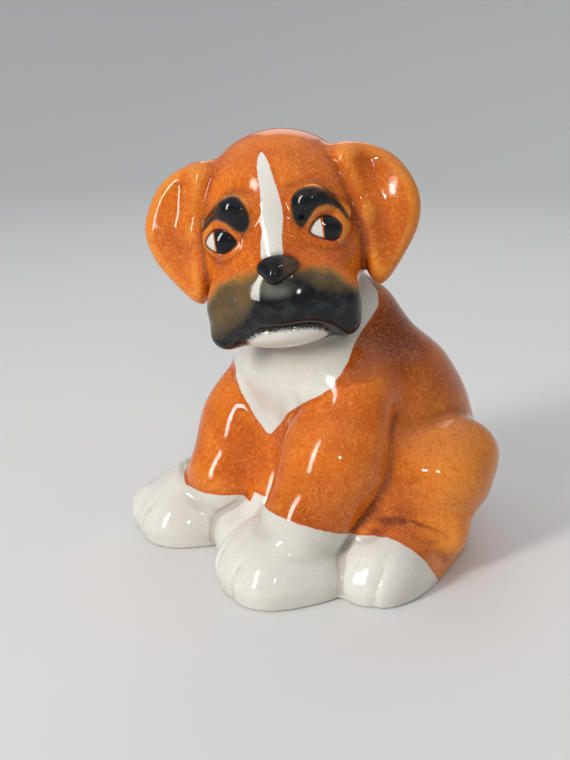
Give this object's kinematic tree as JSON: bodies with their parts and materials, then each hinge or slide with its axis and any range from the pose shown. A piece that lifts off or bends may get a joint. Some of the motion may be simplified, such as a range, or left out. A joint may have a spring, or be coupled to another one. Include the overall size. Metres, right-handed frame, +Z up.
{
  "type": "dog figurine",
  "caption": "Glazed ceramic ornament of a sitting boxer puppy with its head turned to one side, hanging ears and a flat resting base.",
  "frame": {"origin": "middle of the bounding box, on the plane of the table the ornament stands on", "axes": "+Z up from the table to the top of the head, -Y the way the chest faces, +X the puppy's left side, towards which the head is turned"},
  "size_m": [0.13, 0.14, 0.165],
  "materials": {
    "orange_glaze": "gloss",
    "white_glaze": "gloss",
    "black_glaze": "gloss"
  },
  "bodies": {
    "root": {"body": "orange_glaze", "tail": "orange_glaze", "head": "orange_glaze", "nose": "black_glaze", "left_ear": "orange_glaze", "right_ear": "orange_glaze", "left_foreleg": "orange_glaze", "right_foreleg": "orange_glaze", "left_forepaw": "white_glaze", "right_forepaw": "white_glaze", "left_haunch": "orange_glaze", "right_haunch": "orange_glaze", "left_hindpaw": "white_glaze", "right_hindpaw": "white_glaze"}
  },
  "joints": []
}
